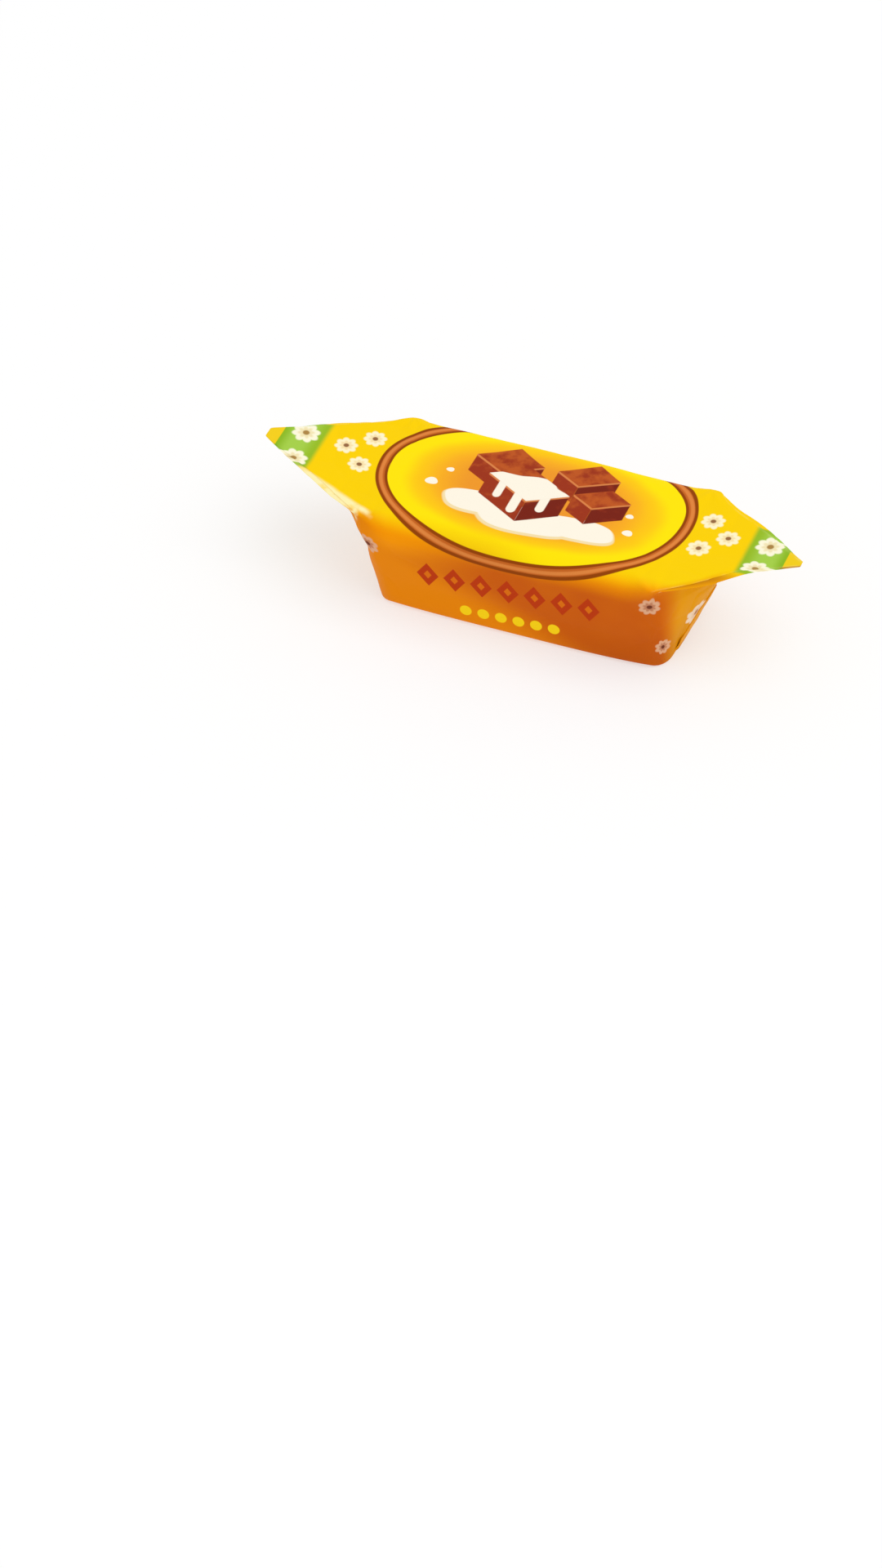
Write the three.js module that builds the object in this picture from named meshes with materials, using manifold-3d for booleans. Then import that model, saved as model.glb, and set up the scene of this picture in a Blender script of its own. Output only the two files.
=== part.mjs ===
// A filled caramel in its paper wrapper, as it lies on a table with the broad side up.
//
// The bar inside is a moulded trapezium, narrower at the base. The paper is rolled round it into a
// sleeve whose long seam lies under the base. At each end the sleeve is folded like a gift: the two
// sides are tucked in, the base's triangle is folded up the end wall, and the top's triangle stands
// out level with the top as a pointed corner.
//
// Millimetres. +X runs along the bar, +Y to its back, +Z up. The origin is on the surface that the
// sweet lies on, under the middle between the two points.

import * as THREE from "three";
import { mergeVertices } from "three/addons/utils/BufferGeometryUtils.js";
import Module from "manifold-3d";

// ---------------------------------------------------------------- driving dimensions

const LENGTH = 70; // from point to point
const TOP_LENGTH = 39.2; // straight long edges of the top
const TOP_WIDTH = 20.5; // over the rolled edges
const BASE_WIDTH = 15.8;
const HEIGHT = 14.3; // to the top's long edges
const CROWN = 0.35; // how far the paper stands up in the middle of the top
const SIDE_BULGE = 0.3; // the same in the middle of each long side
const TOP_RADIUS = 1.7; // the paper's soft bend along the top's long edges
const BASE_RADIUS = 1.1;
const END_RADIUS = 1.0; // round the end walls
const WALL_INSETS = [6.7, 6, 5.2, 4.4, 3.6, 2.8, 2.1, 1.5]; // rings on an end wall, in from its rim

const RIGHT_BASE_REACH = 20.4; // where the right end wall meets the base
const LEFT_BASE_REACH = 16.9; // the left one, which is folded in deeper
const LEFT_LEAN_FROM = 7.6; // the height above which the left end wall leans out
const FLARE = 3.2; // how far the end walls swell out under the points
const FLARE_FROM = 5.5; // the height at which that begins

const PLY = 0.25; // a fold's few layers of paper
const POINT_LIFT = 1.1; // how far the points curl up above the top
const POINT_ROOT_THICKNESS = 2.3; // both plies of a point and the tuck between them
const POINT_TIP_THICKNESS = 0.55;
const POINT_WIDTH = TOP_WIDTH - 0.1; // where it leaves the sleeve
const TUCK_DEPTH = 1.3; // how deep the tuck runs in between the plies
const CREASE_SHARE = 0.35; // of the thickness, for the creased edge of a ply
const PLY_SLACK = 0.35; // how much narrower the lower ply is
const TIP_RADIUS = 0.6;
const BURIED = [
  [3.2, 0.4, 0.15], // how a point fades into the sleeve: inwards, narrower, lower
  [2.1, 0.25, 0.1],
  [1.0, 0.1, 0.05],
];
const FOLD_START = 1.4; // the base's triangle on the end wall, from this height
const FOLD_HEIGHT = 11.4; // to this one
const FOLD_DEPTH = 1.1; // how far its solid runs into the wall
const SEAM_Y = 3.2; // where the sleeve's outer layer ends, under the base

const CORNER_STEPS = 6;
const BROAD_STEPS = 14; // across the top and the base
const SIDE_STEPS = 8; // up the long sides
const BODY_STEPS = 10;
const POINT_STEPS = 14;
const FOLD_ROWS = 16;
const FOLD_COLUMNS = 10;

// ---------------------------------------------------------------- helpers

const wasm = await Module();
wasm.setup();

const smooth = (low, high, value) => THREE.MathUtils.smoothstep(value, low, high);
const mix = THREE.MathUtils.lerp;

// A closed outline with its corners rounded by arcs. The corners run anticlockwise, and the edge
// that follows a corner is cut into that corner's steps.
function roundedOutline(corners) {
  const count = corners.length;
  const arcs = corners.map(({ at, radius }, i) => {
    const toLast = corners[(i + count - 1) % count].at.clone().sub(at).normalize();
    const toNext = corners[(i + 1) % count].at.clone().sub(at).normalize();
    const half = Math.acos(toLast.dot(toNext)) / 2;
    const inwards = toLast.clone().add(toNext).normalize();
    const centre = at.clone().addScaledVector(inwards, radius / Math.sin(half));
    const first = at.clone().addScaledVector(toLast, radius / Math.tan(half));
    const turn = (Math.PI - 2 * half) / CORNER_STEPS;
    return Array.from({ length: CORNER_STEPS + 1 }, (_, step) =>
      first.clone().rotateAround(centre, turn * step),
    );
  });
  const points = [];
  for (let i = 0; i < count; i++) {
    points.push(...arcs[i]);
    const from = arcs[i][CORNER_STEPS];
    const to = arcs[(i + 1) % count][0];
    const { steps } = corners[i];
    for (let step = 1; step < steps; step++) {
      points.push(from.clone().lerp(to, step / steps));
    }
  }
  return points;
}

// A closed skin through rings of equally many points, with a fan over the first and the last ring.
function skin(rings) {
  const count = rings[0].length;
  const positions = [];
  const triangles = [];
  for (const ring of rings) for (const p of ring) positions.push(p.x, p.y, p.z);
  for (let i = 0; i + 1 < rings.length; i++) {
    for (let j = 0; j < count; j++) {
      const a = i * count + j;
      const b = i * count + ((j + 1) % count);
      triangles.push(a, b, a + count, b, b + count, a + count);
    }
  }
  for (const [ring, start, first] of [
    [rings[0], 0, true],
    [rings[rings.length - 1], (rings.length - 1) * count, false],
  ]) {
    const middle = ring.reduce((sum, p) => sum.add(p), new THREE.Vector3()).divideScalar(count);
    const hub = positions.length / 3;
    positions.push(middle.x, middle.y, middle.z);
    for (let j = 0; j < count; j++) {
      const a = start + j;
      const b = start + ((j + 1) % count);
      triangles.push(...(first ? [hub, b, a] : [hub, a, b]));
    }
  }
  const geometry = new THREE.BufferGeometry();
  geometry.setAttribute("position", new THREE.Float32BufferAttribute(positions, 3));
  geometry.setIndex(triangles);
  return geometry;
}

function solidOf(geometry) {
  const merged = mergeVertices(geometry, 1e-4);
  const make = (triVerts) =>
    new wasm.Manifold(
      new wasm.Mesh({ numProp: 3, vertProperties: merged.attributes.position.array, triVerts }),
    );
  const solid = make(new Uint32Array(merged.index.array));
  return solid.volume() > 0 ? solid : make(new Uint32Array(merged.index.array).reverse());
}

function geometryOf(solid) {
  const { numProp, vertProperties, triVerts } = solid.getMesh();
  const places = new Float32Array((vertProperties.length / numProp) * 3);
  for (let i = 0; i < places.length / 3; i++) {
    places.set(vertProperties.subarray(i * numProp, i * numProp + 3), i * 3);
  }
  const geometry = new THREE.BufferGeometry();
  geometry.setAttribute("position", new THREE.BufferAttribute(places, 3));
  geometry.setIndex(new THREE.BufferAttribute(triVerts, 1));
  geometry.computeVertexNormals();
  return geometry;
}

// ---------------------------------------------------------------- the filled sleeve

const halfWidth = (z) => mix(BASE_WIDTH, TOP_WIDTH, z / HEIGHT) / 2;

// How far an end wall stands from the middle, at a place on the wall.
function wallReach(side, y, z) {
  const across = 1 - Math.min(1, Math.abs(y) / halfWidth(z)) ** 2;
  const swell = FLARE * across * smooth(FLARE_FROM, HEIGHT, z);
  const rise = z / HEIGHT;
  const base =
    side > 0
      ? mix(RIGHT_BASE_REACH, TOP_LENGTH / 2, rise)
      : mix(LEFT_BASE_REACH, TOP_LENGTH / 2, smooth(LEFT_LEAN_FROM, HEIGHT, z));
  return base + swell;
}

function sleeveOutline() {
  const corner = (y, z, radius, steps) => ({ at: new THREE.Vector2(y, z), radius, steps });
  // The roll's centre is one radius in from the widest place, and the sides lean inwards below it.
  const lean = Math.atan2(TOP_WIDTH - BASE_WIDTH, 2 * HEIGHT);
  const cutCorner = TOP_WIDTH / 2 - TOP_RADIUS + TOP_RADIUS / Math.tan((Math.PI / 2 - lean) / 2);
  return roundedOutline([
    corner(-BASE_WIDTH / 2, 0, BASE_RADIUS, BROAD_STEPS),
    corner(BASE_WIDTH / 2, 0, BASE_RADIUS, SIDE_STEPS),
    corner(cutCorner, HEIGHT, TOP_RADIUS, BROAD_STEPS),
    corner(-cutCorner, HEIGHT, TOP_RADIUS, SIDE_STEPS),
  ]);
}

// The paper swells a little in the middle of the top and of the long sides.
function swollen(point, along) {
  const fullness = 1 - along ** 4;
  const across = 1 - (2 * point.x / TOP_WIDTH) ** 2;
  const up = CROWN * fullness * Math.max(0, across) * smooth(HEIGHT * 0.7, HEIGHT, point.y);
  const height = point.y / HEIGHT;
  const out = SIDE_BULGE * fullness * 4 * height * (1 - height);
  const steepness = smooth(0.5, 1, Math.abs(point.x) / halfWidth(point.y));
  return new THREE.Vector2(point.x + Math.sign(point.x) * out * steepness, point.y + up);
}

function sleeve() {
  const outline = sleeveOutline();
  const centre = new THREE.Vector2(0, HEIGHT / 2);
  const ring = (along, inset, depth) =>
    outline.map((corner) => {
      const rim = swollen(corner, along);
      const away = rim.clone().sub(centre);
      const place = centre.clone().addScaledVector(away, 1 - inset / away.length());
      const reach = wallReach(Math.sign(along), place.x, place.y) - depth;
      return new THREE.Vector3(along * reach, place.x, place.y);
    });
  const endWall = (side) => {
    const flat = WALL_INSETS.map((inset) => ring(side, inset, 0));
    const round = [0, 22.5, 45, 67.5].map((degrees) => {
      const turn = THREE.MathUtils.degToRad(degrees);
      return ring(side, END_RADIUS * (1 - Math.sin(turn)), END_RADIUS * (1 - Math.cos(turn)));
    });
    return [...flat, ...round];
  };
  const rings = endWall(-1);
  for (let step = 0; step <= BODY_STEPS; step++) {
    rings.push(ring((2 * step) / BODY_STEPS - 1, 0, END_RADIUS));
  }
  rings.push(...endWall(1).reverse());
  return solidOf(skin(rings));
}

// ---------------------------------------------------------------- the pointed corners

// Half the width of a point at each place along it: straight to a small round tip.
function pointStations() {
  const root = TOP_LENGTH / 2;
  const tip = LENGTH / 2;
  const wide = POINT_WIDTH / 2;
  const slant = Math.atan2(wide, tip - root);
  const touch = tip - TIP_RADIUS * (1 - Math.sin(slant)); // where the straight edges meet the tip
  const narrow = TIP_RADIUS * Math.cos(slant);
  const stations = [];
  for (let step = 0; step <= POINT_STEPS; step++) {
    const share = step / POINT_STEPS;
    stations.push([mix(root, touch, share), mix(wide, narrow, share)]);
  }
  for (const degrees of [50, 68, 80]) {
    const angle = THREE.MathUtils.degToRad(degrees);
    stations.push([tip - TIP_RADIUS * (1 - Math.sin(angle)), TIP_RADIUS * Math.cos(angle)]);
  }
  return stations;
}

// One corner, as a flat tapering bag of paper: an upper and a lower ply, open along the slanting
// edges where the tuck goes in between them.
function point(side) {
  const root = TOP_LENGTH / 2;
  const tip = LENGTH / 2;
  const rings = [];
  const ring = (x, half, sunk) => {
    const along = THREE.MathUtils.clamp((x - root) / (tip - root), 0, 1);
    const thick = mix(POINT_ROOT_THICKNESS, POINT_TIP_THICKNESS, Math.sqrt(along));
    const top = HEIGHT - sunk + POINT_LIFT * along ** 1.6;
    // The long edge's soft roll runs on into the point and tightens to a crease.
    const crease = Math.min(thick, half) * CREASE_SHARE;
    const roll = mix(TOP_RADIUS, crease, smooth(-0.05, 0.22, along));
    const tuck = Math.min(TUCK_DEPTH, half * 0.35) * smooth(0.05, 0.25, along);
    const slack = Math.min(PLY_SLACK, half * 0.1);
    const below = thick - roll;
    const edge = [0, 30, 60, 90].map((degrees) => {
      const angle = THREE.MathUtils.degToRad(degrees);
      return [half - roll * (1 - Math.sin(angle)), roll * (1 - Math.cos(angle))];
    });
    edge.push(
      [half - 0.1 * tuck, roll + below * 0.12],
      [half - tuck, roll + below * 0.25],
      [half - slack - 0.1 * tuck, roll + below * 0.38],
      [half - slack, thick - below * 0.4],
      [half - slack - crease * 0.3, thick - below * 0.1],
      [half - slack - crease, thick],
    );
    const back = edge.map(([y, down]) => new THREE.Vector3(side * x, y, top - down));
    const front = edge.map(([y, down]) => new THREE.Vector3(side * x, -y, top - down));
    rings.push([...back, ...front.reverse()]);
  };
  for (const [inward, narrower, sunk] of BURIED) {
    ring(root - inward, POINT_WIDTH / 2 - narrower, sunk);
  }
  for (const [x, half] of pointStations()) ring(x, half, 0);
  return solidOf(skin(rings));
}

// ---------------------------------------------------------------- the folds

// The base's triangle, folded up the end wall. It starts flush at the base and stands out by a ply
// along its two slanting edges.
function endFold(side) {
  const rings = [];
  for (let row = 0; row <= FOLD_ROWS; row++) {
    const z = mix(FOLD_START, FOLD_HEIGHT, row / FOLD_ROWS);
    const half = Math.max(0.25, (BASE_WIDTH / 2 - 0.3) * (1 - z / (FOLD_HEIGHT + 0.4)));
    const proud = PLY * smooth(FOLD_START, FOLD_START + 3, z);
    const place = (y, out) => new THREE.Vector3(side * (wallReach(side, y, z) + out), y, z);
    const ring = [];
    for (let column = 0; column <= FOLD_COLUMNS; column++) {
      ring.push(place(mix(-half, half, column / FOLD_COLUMNS), proud));
    }
    rings.push([...ring, place(half * 0.98, -FOLD_DEPTH), place(-half * 0.98, -FOLD_DEPTH)]);
  }
  return solidOf(skin(rings));
}

// The sleeve's outer layer ends under the base. Behind that edge the inner layer lies a ply higher.
function seamStep() {
  const slab = new THREE.BoxGeometry(LENGTH, TOP_WIDTH, 2 * PLY);
  slab.translate(0, SEAM_Y + TOP_WIDTH / 2, 0);
  slab.deleteAttribute("normal");
  slab.deleteAttribute("uv");
  return solidOf(slab);
}

// ---------------------------------------------------------------- assembly

function wrappedCaramel() {
  let whole = sleeve();
  for (const side of [-1, 1]) {
    whole = whole.add(point(side)).add(endFold(side));
  }
  const paper = new THREE.MeshStandardMaterial({ color: 0xfad40c, roughness: 0.42, metalness: 0 });
  const mesh = new THREE.Mesh(geometryOf(whole.subtract(seamStep())), paper);
  mesh.name = "wrapped_caramel";
  return mesh;
}

const object = new THREE.Group();
object.add(wrappedCaramel());
export default object;
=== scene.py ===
# %% [markdown]
# # A caramel in its folded paper wrapper
# The sweet lies on its narrow base. One sheet of printed waxed paper is rolled round the bar, with
# the seam underneath, and each end is folded like an envelope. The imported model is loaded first.
# It gives the size and the place of everything, and nothing in it is changed.

# %% Load the frame
import math

import bmesh
import bpy
import numpy as np
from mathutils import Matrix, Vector, noise


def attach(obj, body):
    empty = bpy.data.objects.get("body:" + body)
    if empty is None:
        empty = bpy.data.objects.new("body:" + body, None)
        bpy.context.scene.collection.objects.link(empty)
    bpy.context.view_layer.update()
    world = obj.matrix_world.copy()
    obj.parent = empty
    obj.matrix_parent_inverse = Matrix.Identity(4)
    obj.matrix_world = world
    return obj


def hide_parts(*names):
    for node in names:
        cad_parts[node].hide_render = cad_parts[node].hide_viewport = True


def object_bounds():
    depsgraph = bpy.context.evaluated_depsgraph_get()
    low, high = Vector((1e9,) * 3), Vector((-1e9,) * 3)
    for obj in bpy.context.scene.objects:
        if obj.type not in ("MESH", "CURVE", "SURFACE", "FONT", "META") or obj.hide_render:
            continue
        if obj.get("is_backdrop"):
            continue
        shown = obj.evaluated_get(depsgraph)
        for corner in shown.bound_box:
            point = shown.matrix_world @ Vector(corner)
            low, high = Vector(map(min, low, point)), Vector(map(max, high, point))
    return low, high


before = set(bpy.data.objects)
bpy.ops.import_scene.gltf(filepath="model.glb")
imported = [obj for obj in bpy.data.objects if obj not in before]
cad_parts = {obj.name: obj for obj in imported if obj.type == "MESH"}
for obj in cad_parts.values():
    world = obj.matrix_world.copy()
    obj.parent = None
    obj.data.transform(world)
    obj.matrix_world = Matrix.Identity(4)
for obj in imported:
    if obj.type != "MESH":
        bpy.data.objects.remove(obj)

cad_low, cad_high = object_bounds()
print("packed model, mm:", [round(side * 1000, 1) for side in cad_high - cad_low])

# %% [markdown]
# ## Sizes
# A sweet is small, so every size here is in millimetres and is turned into metres at the last
# moment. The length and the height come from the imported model. The other sizes describe the shape
# of the wrapper: a bar that narrows downwards, and a flat point at each end.

# %% Sizes in millimetres
MM = 0.001
LENGTH = (cad_high.x - cad_low.x) / MM
POINT_LIFT = 1.1  # how far the points curl up
HEIGHT = cad_high.z / MM - POINT_LIFT
TOP_LENGTH = 0.56 * LENGTH
TOP_WIDTH, BASE_WIDTH = 20.5, 15.8
POINT = (LENGTH - TOP_LENGTH) / 2
HALF_TOP, HALF_WIDE, HALF_BASE = TOP_LENGTH / 2, TOP_WIDTH / 2, BASE_WIDTH / 2
PLY = 0.12  # the paper, a little thicker than real so that its edge can be seen


def place(x, y, z):
    """A place in millimetres, as Blender's metres."""
    return Vector((x, y, z)) * MM


def ease(low, high, value):
    """0 below low, 1 above high, and smooth between them."""
    share = np.clip((value - low) / (high - low), 0, 1)
    return share * share * (3 - 2 * share)


def half_width(z):
    """Half the bar's width at a height."""
    return HALF_BASE + (HALF_WIDE - HALF_BASE) * np.clip(z, 0, HEIGHT) / HEIGHT


def along_point(x):
    """0 where a point leaves the bar, 1 at its tip."""
    return np.clip((np.abs(x) - HALF_TOP) / POINT, 0, 1)


print("top", round(TOP_LENGTH, 1), "x", TOP_WIDTH, "mm, point", round(POINT, 1), "mm")

# %% [markdown]
# ## The camera
# It looks down on the sweet from the front, a little from its right, through a long lens, so the
# far edge is hardly smaller than the near one. It stays level. The sweet isn't in the middle of
# the picture, so the camera is turned a little instead of being aimed straight at it.

# %% Camera
AZIMUTH, ELEVATION = math.radians(21.05), math.radians(39.84)
LENS, SENSOR = 130, 36
PICTURE = (1080, 1920)  # pixels
AIM = place(0, 0, HEIGHT)  # the middle of the top
AIM_PIXEL = (652.6, 616.5)
PIXELS_PER_MM = 10.05

focal_pixels = LENS / SENSOR * PICTURE[1]
distance = focal_pixels / PIXELS_PER_MM * MM
to_camera = Vector((
    math.sin(AZIMUTH) * math.cos(ELEVATION),
    -math.cos(AZIMUTH) * math.cos(ELEVATION),
    math.sin(ELEVATION),
))
ray = Vector((AIM_PIXEL[0] - PICTURE[0] / 2, PICTURE[1] / 2 - AIM_PIXEL[1], -focal_pixels))
turn = ray.normalized().rotation_difference(Vector((0, 0, -1)))
bpy.ops.object.camera_add(location=AIM + to_camera * distance)
camera = bpy.context.object
camera.rotation_mode = "QUATERNION"
camera.rotation_quaternion = (-to_camera).to_track_quat("-Z", "Y") @ turn
camera.data.lens = LENS
camera.data.sensor_width = SENSOR
camera.data.clip_start, camera.data.clip_end = 0.01, 10
bpy.context.scene.camera = camera
print("camera", round(distance / MM), "mm away")

# %% [markdown]
# ## Tools for modelling
# Each piece begins as a primitive and is then worked on in edit mode, as by hand. These helpers
# name a new primitive, select its points or faces by their place, and cut it along a plane.


# %% Modelling helpers
NEAR = 0.02  # two places closer than this are taken as the same


def start_piece(name):
    """Names the primitive that was just added and opens it with nothing selected."""
    piece = bpy.context.object
    piece.name = piece.data.name = name
    bpy.ops.object.transform_apply(location=True, rotation=True, scale=True)
    bpy.ops.object.mode_set(mode="EDIT")
    bpy.ops.mesh.select_all(action="DESELECT")
    return piece


def pick(piece, kind, test):
    """Selects the points or faces whose place in millimetres passes a test."""
    bpy.ops.mesh.select_mode(type=kind)
    bpy.ops.mesh.select_all(action="DESELECT")
    mesh = bmesh.from_edit_mesh(piece.data)
    for part in mesh.faces if kind == "FACE" else mesh.verts:
        middle = part.calc_center_median() if kind == "FACE" else part.co
        if test(middle / MM):
            part.select_set(True)
    mesh.select_flush_mode()
    bmesh.update_edit_mesh(piece.data)


def cut(axis, at):
    """Cuts the whole piece along the plane where its x, y or z has that value."""
    normal = Vector([name == axis for name in "xyz"])
    bpy.ops.mesh.select_all(action="SELECT")
    bpy.ops.mesh.bisect(plane_co=normal * at * MM, plane_no=normal)


# %% [markdown]
# ## The wrapper's cage
# The sleeve and both points are one sheet, so they are one piece: a box, cut into bands, whose top
# strip is extruded into a point at each end. A Subdivision Surface later turns the cage into
# smooth paper. A band close to an edge keeps that edge tight, and a wider band makes a soft roll,
# so the bands lie where the paper bends.

# %% Wrapper: a box cut into bands
STRIP = 13.55  # the height from which the end walls are drawn out into points
GROOVE = 13.95  # between a point's upper and lower ply
LEVELS = (0.0, 1.4, 5.0, 8.6, 11.2, STRIP)
WIDTHS = (-8.4, 0, 8.4)
LENGTHS = (-17.8, -11, -4, 4, 11, 17.8)

bpy.ops.object.select_all(action="DESELECT")
bpy.ops.mesh.primitive_cube_add(size=1, location=place(0, 0, HEIGHT / 2))
wrapper = start_piece("wrapper")
bpy.ops.mesh.select_all(action="SELECT")
bpy.ops.transform.resize(
    value=place(TOP_LENGTH, TOP_WIDTH, HEIGHT), center_override=place(0, 0, HEIGHT / 2)
)
for axis, places in (("z", (*LEVELS[1:], GROOVE)), ("y", WIDTHS), ("x", LENGTHS)):
    for at in places:
        cut(axis, at)
print("cage", len(bmesh.from_edit_mesh(wrapper.data).faces), "faces")

# %% [markdown]
# The faces of the top strip at each end are extruded outwards ring by ring. After each step the new
# ring is made narrower and thinner, so the strip runs out to a tip. The left tip is blunter.

# %% Wrapper: draw out the points
TIP_HALF = {-1: 0.85, 1: 0.25}
TIP_REACH = {-1: POINT, 1: POINT - 0.55}
TIP_THICKNESS = 0.3
RINGS = (1.6, 5.0, 9.0, 12.4, 14.3)


def point_half(side, reach):
    """Half the width of a point, that far out from the bar."""
    tip = np.where(np.asarray(side) < 0, TIP_HALF[-1], TIP_HALF[1])
    return HALF_WIDE + (tip - HALF_WIDE) * reach / POINT


def point_thickness(reach):
    """How thick a point is, that far out from the bar."""
    thick = HEIGHT - STRIP
    return thick + (TIP_THICKNESS - thick) * (reach / POINT) ** 0.6


for side in (-1, 1):
    pick(wrapper, "FACE", lambda at: at.x * side > HALF_TOP - NEAR and at.z > STRIP)
    last = 0.0
    for reach in (*RINGS, TIP_REACH[side]):
        step = place(side * (reach - last), 0, 0)
        bpy.ops.mesh.extrude_region_move(TRANSFORM_OT_translate={"value": step})
        narrower = float(point_half(side, reach) / point_half(side, last))
        thinner = point_thickness(reach) / point_thickness(last)
        bpy.ops.transform.resize(value=(1, narrower, thinner), center_override=place(0, 0, HEIGHT))
        last = reach
print("with points", len(bmesh.from_edit_mesh(wrapper.data).faces), "faces")

# %% [markdown]
# Between the ends the strip's lower lines are moved down, which leaves room for the roll of the
# long edges. The bar narrows towards its base, so each level is scaled in a little more than the
# one above. The right end wall is upright. The left one was pushed in deeper and leans out near the
# top. The points' sides get a groove, between the upper ply and the one folded under it.

# %% Wrapper: lean the walls and open the groove
RIGHT_BASE, LEFT_BASE = 20.4, 17.9  # how far the end walls reach at the base
LEANS_FROM = 8  # the left wall leans out above this height
LOWERED = 1.1  # how far the strip's lower lines are moved down
GROOVE_WIDTH = 0.92  # as a share of the point's width


def wall_reach(side, z):
    """How far an end wall's upright edges stand from the middle, at a height."""
    right = RIGHT_BASE + (HALF_TOP - RIGHT_BASE) * z / HEIGHT
    left = LEFT_BASE + (HALF_TOP - LEFT_BASE) * ease(LEANS_FROM, HEIGHT, z)
    return np.where(np.asarray(side) > 0, right, left)


def between_ends(at):
    """Whether a place is on one of the strip's two lower lines, between the ends."""
    return STRIP - NEAR < at.z < GROOVE + NEAR and abs(at.x) < LENGTHS[-1] + NEAR


pick(wrapper, "VERT", between_ends)
bpy.ops.transform.translate(value=place(0, 0, -LOWERED))
for height in (*LEVELS, GROOVE, STRIP - LOWERED, GROOVE - LOWERED):
    pick(wrapper, "VERT", lambda at: abs(at.z - height) < NEAR and abs(at.x) < HALF_TOP + NEAR)
    narrower = half_width(height) / HALF_WIDE
    bpy.ops.transform.resize(value=(1, narrower, 1), center_override=place(0, 0, height))
for side in (-1, 1):
    for height in LEVELS[:-1]:
        pick(wrapper, "VERT", lambda at: at.x * side > HALF_TOP - NEAR and abs(at.z - height) < NEAR)
        move = place(side * (float(wall_reach(side, height)) - HALF_TOP), 0, 0)
        bpy.ops.transform.translate(value=move)


def in_groove(at):
    """Whether a place is on the side of a point, between its upper and its lower face."""
    reach = abs(at.x) - HALF_TOP
    if not 1 < reach < POINT - 1 or abs(at.y) < point_half(math.copysign(1, at.x), reach) - NEAR:
        return False
    return 0.1 < (HEIGHT - at.z) / point_thickness(reach) < 0.9


pick(wrapper, "VERT", in_groove)
bpy.ops.transform.resize(value=(1, GROOVE_WIDTH, 1), center_override=place(0, 0, HEIGHT))
bpy.ops.object.mode_set(mode="OBJECT")
print("cage", len(wrapper.data.polygons), "faces")

# %% [markdown]
# ## Smooth paper
# The cage is all flat faces. A Bevel would round every edge alike, but folded paper is tight in one
# place and soft in the next. So a Subdivision Surface rounds it by the width of the bands. Its four
# levels leave faces of half a millimetre or less, small enough for the creases that come later.

# %% Wrapper: subdivide
SMOOTHNESS = 4


def modify(piece, kind, **settings):
    """Adds a modifier and applies it."""
    modifier = piece.modifiers.new(kind.lower(), kind)
    for name, value in settings.items():
        setattr(modifier, name, value)
    bpy.context.view_layer.objects.active = piece
    bpy.ops.object.modifier_apply(modifier=modifier.name)


modify(wrapper, "SUBSURF", levels=SMOOTHNESS, render_levels=SMOOTHNESS)
print("wrapper", len(wrapper.data.polygons), "faces")

# %% [markdown]
# ## Moving points
# The finer shape is given by moving points in code, as a sculptor would push them. Sculpt brushes
# would do as well, but a formula can be read and changed later. All places are read into one
# table, moved there and written back, which is much faster than moving each point by itself.


# %% Reading and moving points
def points_of(piece):
    """The places of a piece's points in millimetres, one row each."""
    places = np.empty(len(piece.data.vertices) * 3)
    piece.data.vertices.foreach_get("co", places)
    return places.reshape(-1, 3) / MM


def put_points(piece, x, y, z):
    """Moves a piece's points to these places in millimetres."""
    piece.data.vertices.foreach_set("co", (np.column_stack([x, y, z]) * MM).ravel())
    piece.data.update()


print(len(points_of(wrapper)), "points")

# %% [markdown]
# ## Rolls along the top
# The long edges of the top get the soft roll of paper bent round caramel. It is widest along the
# front, and it gets tight where the points leave the bar. One helper rounds an edge: every point
# outside the arc is pulled back onto it.

# %% Wrapper: round the long edges
FRONT_ROLL, BACK_ROLL, END_ROLL = 3.2, 0.5, 0.4
ROLL_CHANGE = 4.5  # the length over which a roll gets tight


def roll_radius(x, y):
    """The radius of a long edge at a place."""
    along_bar = np.where(y < 0, FRONT_ROLL, BACK_ROLL)
    return END_ROLL + (along_bar - END_ROLL) * ease(HALF_TOP, HALF_TOP - ROLL_CHANGE, np.abs(x))


def rounded(inside_a, inside_b, radius):
    """How far to pull a point inwards along both directions, from its depth under two faces."""
    a, b = np.clip(radius - inside_a, 0, None), np.clip(radius - inside_b, 0, None)
    away = np.hypot(a, b)
    share = np.where((a > 0) & (b > 0) & (away > radius), 1 - radius / np.maximum(away, 0.01), 0)
    return a * share, b * share


x, y, z = points_of(wrapper).T
in_y, in_z = rounded(half_width(z) - np.abs(y), HEIGHT - z, roll_radius(x, y))
on_sleeve = ease(HALF_TOP + 0.5, HALF_TOP - 0.5, np.abs(x))
put_points(wrapper, x, y - np.where(y < 0, -1, 1) * in_y * on_sleeve, z - in_z * on_sleeve)
print("rounded by up to", in_z.max().round(2), "mm")

# %% [markdown]
# ## The sheet's own map
# The print was made on the flat sheet and then went round the bar with it. So the piece gets a UV
# map that says where on the flat sheet each spot comes from: u along the bar, v across it, from the
# middle of the top over the roll and down the side. Blender's own unwrap would stretch the print at
# the folds, so the map is worked out. It counts in units of 100 millimetres.

# %% Map helpers
UNIT = 100
LEAN = math.atan((HALF_WIDE - HALF_BASE) / HEIGHT)


def corners_of(piece):
    """For each face corner: its point's number and its face's number."""
    mesh = piece.data
    points = np.empty(len(mesh.loops), dtype=int)
    mesh.loops.foreach_get("vertex_index", points)
    counts = np.empty(len(mesh.polygons), dtype=int)
    mesh.polygons.foreach_get("loop_total", counts)
    return points, np.repeat(np.arange(len(counts)), counts)


def rows(collection, field):
    """A direction or place of every item in a collection, one row each."""
    values = np.empty(len(collection) * 3)
    collection.foreach_get(field, values)
    return values.reshape(-1, 3)


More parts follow.
